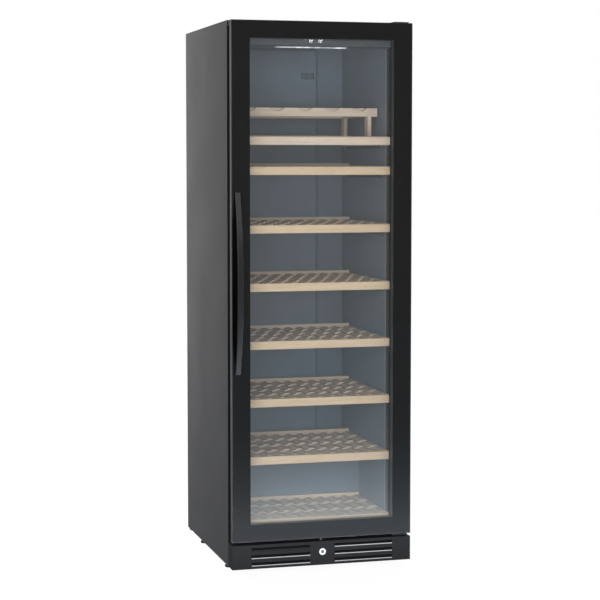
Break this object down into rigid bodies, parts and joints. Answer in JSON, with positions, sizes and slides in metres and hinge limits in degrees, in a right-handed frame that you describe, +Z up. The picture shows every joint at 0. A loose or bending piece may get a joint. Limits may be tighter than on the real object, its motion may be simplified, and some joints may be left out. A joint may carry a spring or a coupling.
{
  "type": "wine cooler",
  "caption": "Tall free-standing wine cooler with a right-hinged glass door, bow handle, sliding slatted wood shelves, louvred plinth with a lock, and a rear machine room.",
  "frame": {"origin": "on the floor, in the middle of the whole footprint with the handle", "axes": "+X to the right and +Y to the back as seen from the front, +Z up"},
  "size_m": [0.595, 0.74, 1.76],
  "materials": {
    "casing_paint": "satin dark grey paint",
    "galvanised_steel": "zinc-coated sheet",
    "foam": "rigid polyurethane foam, hidden",
    "liner_plastic": "fine-textured grey",
    "black_plastic": "satin black",
    "plinth_plastic": "satin dark grey",
    "clear_glass": "tinted, polished",
    "black_print": "ceramic ink seen through glass",
    "frame_aluminium": "anodised dark grey",
    "gasket_rubber": "soft matt",
    "handle_metal": "satin black",
    "hinge_steel": "black coated steel",
    "lock_chrome": "bright",
    "beech_wood": "oiled, fine straight grain",
    "display_black": "smoked acrylic",
    "led_diffuser": "white diffuser, lit",
    "coil_aluminium": "bare",
    "compressor_black": "gloss black",
    "grommet_rubber": "matt",
    "copper_pipe": "drawn copper",
    "foot_plastic": "black"
  },
  "bodies": {
    "cabinet": {"side_panel_left": "casing_paint", "side_panel_right": "casing_paint", "top_panel": "casing_paint", "back_panel": "galvanised_steel", "base_pan": "galvanised_steel", "deck_panel": "galvanised_steel", "insulation_foam": "foam", "inner_liner": "liner_plastic", "shelf_runners": "liner_plastic", "machine_cover": "casing_paint", "cord_gland": "black_plastic", "hinge_plate_upper": "hinge_steel", "hinge_plate_lower": "hinge_steel", "control_housing": "liner_plastic", "display_window": "display_black", "led_strip": "led_diffuser", "air_duct_cover": "liner_plastic", "evaporator": "coil_aluminium", "evaporator_fan_motor": "galvanised_steel", "compressor": "compressor_black", "compressor_grommets": "grommet_rubber", "condenser": "coil_aluminium", "drip_tray": "black_plastic", "condenser_fan_shroud": "galvanised_steel", "discharge_pipe": "copper_pipe", "plinth_grille": "plinth_plastic", "lock_housing": "lock_chrome"},
    "door": {"front_glass": "clear_glass", "printed_border": "black_print", "spacer_bar": "black_plastic", "inner_glass": "clear_glass", "door_frame": "frame_aluminium", "door_gasket": "gasket_rubber", "handle_bar": "handle_metal", "hinge_bushes": "black_plastic"},
    "lock_cylinder": {"lock_cylinder": "lock_chrome"},
    "lock_bolt": {"lock_bolt": "galvanised_steel"},
    "condenser_fan": {"condenser_fan": "black_plastic"},
    "evaporator_fan": {"evaporator_fan": "black_plastic"},
    "foot_front_left": {"foot_front_left": "foot_plastic"},
    "foot_front_right": {"foot_front_right": "foot_plastic"},
    "foot_rear_left": {"foot_rear_left": "foot_plastic"},
    "foot_rear_right": {"foot_rear_right": "foot_plastic"},
    "floor_shelf": {"floor_shelf_fascia": "beech_wood", "floor_shelf_rack": "beech_wood"},
    "shelf_1": {"shelf_1_fascia": "beech_wood", "shelf_1_rack": "beech_wood"},
    "shelf_2": {"shelf_2_fascia": "beech_wood", "shelf_2_rack": "beech_wood"},
    "shelf_3": {"shelf_3_fascia": "beech_wood", "shelf_3_rack": "beech_wood"},
    "shelf_4": {"shelf_4_fascia": "beech_wood", "shelf_4_rack": "beech_wood"},
    "shelf_5": {"shelf_5_fascia": "beech_wood", "shelf_5_rack": "beech_wood"},
    "shelf_6": {"shelf_6_fascia": "beech_wood", "shelf_6_rack": "beech_wood"},
    "display_shelf": {"display_shelf_fascia": "beech_wood", "display_shelf_rack": "beech_wood", "display_rack": "beech_wood"}
  },
  "joints": [
    {"name": "door_swing", "type": "hinge", "parent": "cabinet", "child": "door", "pos_m": [0.2795, -0.298, 0.9], "axis": [0, 0, 1], "range_deg": [0, 115]},
    {"name": "lock_turn", "type": "hinge", "parent": "cabinet", "child": "lock_cylinder", "pos_m": [0, -0.312, 0.063], "axis": [0, -1, 0], "range_deg": [0, 90]},
    {"name": "lock_bolt_slide", "type": "slide", "parent": "cabinet", "child": "lock_bolt", "axis": [0, 0, 1], "range_m": [0, 0.01131]},
    {"name": "condenser_fan_spin", "type": "hinge", "parent": "cabinet", "child": "condenser_fan", "pos_m": [-0.094, 0.25, 0.102], "axis": [1, 0, 0], "continuous": true},
    {"name": "evaporator_fan_spin", "type": "hinge", "parent": "cabinet", "child": "evaporator_fan", "pos_m": [0, 0.298, 1.571], "axis": [0, 1, 0], "continuous": true},
    {"name": "foot_front_left_level", "type": "slide", "parent": "cabinet", "child": "foot_front_left", "axis": [0, 0, -1], "range_m": [0, 0.012]},
    {"name": "foot_front_right_level", "type": "slide", "parent": "cabinet", "child": "foot_front_right", "axis": [0, 0, -1], "range_m": [0, 0.012]},
    {"name": "foot_rear_left_level", "type": "slide", "parent": "cabinet", "child": "foot_rear_left", "axis": [0, 0, -1], "range_m": [0, 0.012]},
    {"name": "foot_rear_right_level", "type": "slide", "parent": "cabinet", "child": "foot_rear_right", "axis": [0, 0, -1], "range_m": [0, 0.012]},
    {"name": "floor_shelf_slide", "type": "slide", "parent": "cabinet", "child": "floor_shelf", "axis": [0, -1, 0], "range_m": [0, 0.038]},
    {"name": "shelf_1_slide", "type": "slide", "parent": "cabinet", "child": "shelf_1", "axis": [0, -1, 0], "range_m": [0, 0.038]},
    {"name": "shelf_2_slide", "type": "slide", "parent": "cabinet", "child": "shelf_2", "axis": [0, -1, 0], "range_m": [0, 0.038]},
    {"name": "shelf_3_slide", "type": "slide", "parent": "cabinet", "child": "shelf_3", "axis": [0, -1, 0], "range_m": [0, 0.038]},
    {"name": "shelf_4_slide", "type": "slide", "parent": "cabinet", "child": "shelf_4", "axis": [0, -1, 0], "range_m": [0, 0.038]},
    {"name": "shelf_5_slide", "type": "slide", "parent": "cabinet", "child": "shelf_5", "axis": [0, -1, 0], "range_m": [0, 0.038]},
    {"name": "shelf_6_slide", "type": "slide", "parent": "cabinet", "child": "shelf_6", "axis": [0, -1, 0], "range_m": [0, 0.038]},
    {"name": "display_shelf_slide", "type": "slide", "parent": "cabinet", "child": "display_shelf", "axis": [0, -1, 0], "range_m": [0, 0.038]}
  ],
  "couplings": [
    {"joint": "lock_turn", "follows": "lock_bolt_slide", "rad_per_m": 138.89}
  ]
}
